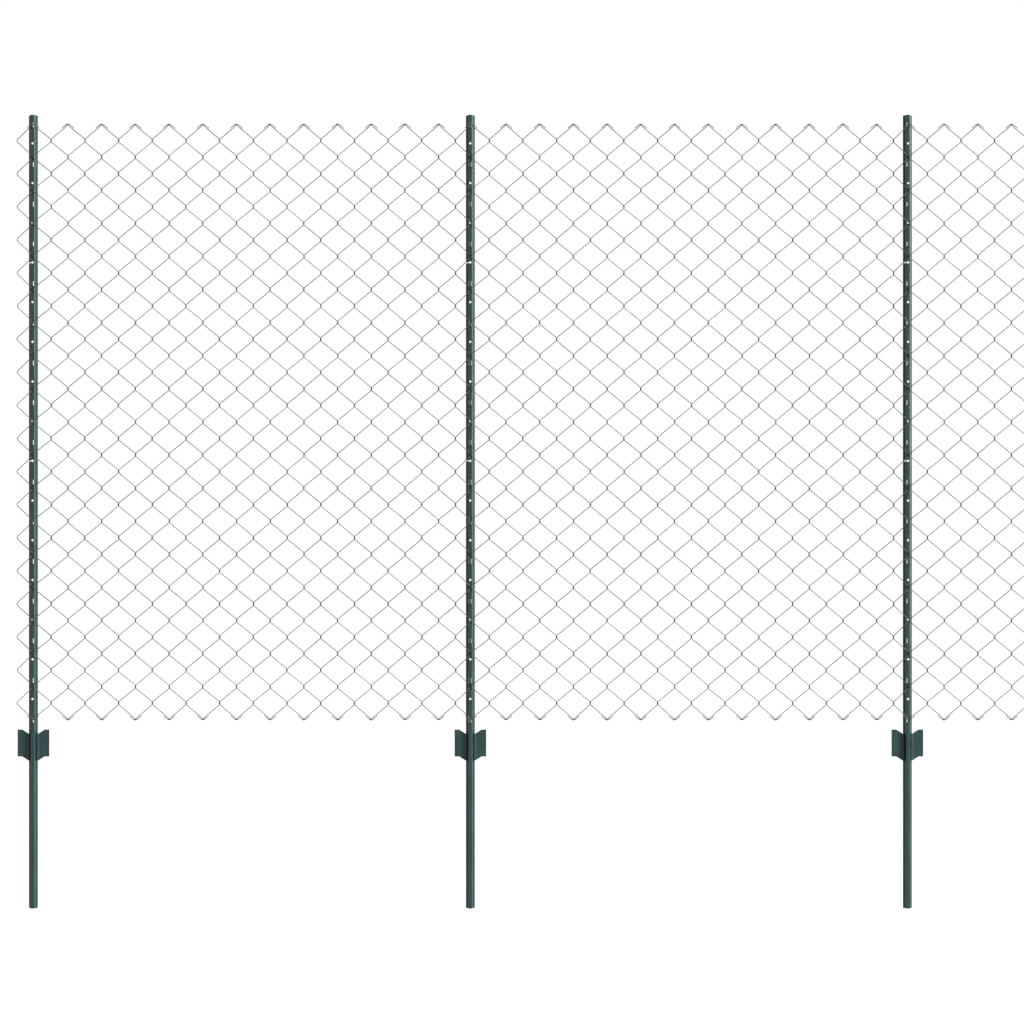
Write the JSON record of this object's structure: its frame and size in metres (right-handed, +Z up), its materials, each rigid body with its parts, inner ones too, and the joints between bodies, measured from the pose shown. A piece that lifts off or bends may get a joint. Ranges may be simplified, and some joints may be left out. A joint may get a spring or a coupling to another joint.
{
  "type": "wire mesh fence",
  "caption": "Woven wire mesh fence in bays: green punched steel posts with hooks and ground anchor wings, hung with galvanised diamond mesh.",
  "frame": {"origin": "in the sheet of the first post's web, at the middle of its bottom end face", "axes": "+X along the fence to the last post, -Y to the front with the mesh and hooks, +Z up"},
  "size_m": [3.397, 0.0237, 2],
  "materials": {
    "green_paint": "semi-gloss powder coat",
    "zinc_wire": "galvanised"
  },
  "bodies": {
    "root": {"post_1": "green_paint", "post_2": "green_paint", "post_3": "green_paint", "post_4": "green_paint", "anchor_wing_left_1": "green_paint", "anchor_wing_right_1": "green_paint", "anchor_wing_left_2": "green_paint", "anchor_wing_right_2": "green_paint", "anchor_wing_left_3": "green_paint", "anchor_wing_right_3": "green_paint", "anchor_wing_left_4": "green_paint", "anchor_wing_right_4": "green_paint", "mesh_bay_1_left": "zinc_wire", "mesh_bay_1_right": "zinc_wire", "mesh_bay_2_left": "zinc_wire", "mesh_bay_2_right": "zinc_wire", "mesh_bay_3_left": "zinc_wire", "mesh_bay_3_right": "zinc_wire", "mesh_end_left": "zinc_wire", "mesh_end_right": "zinc_wire"}
  },
  "joints": []
}
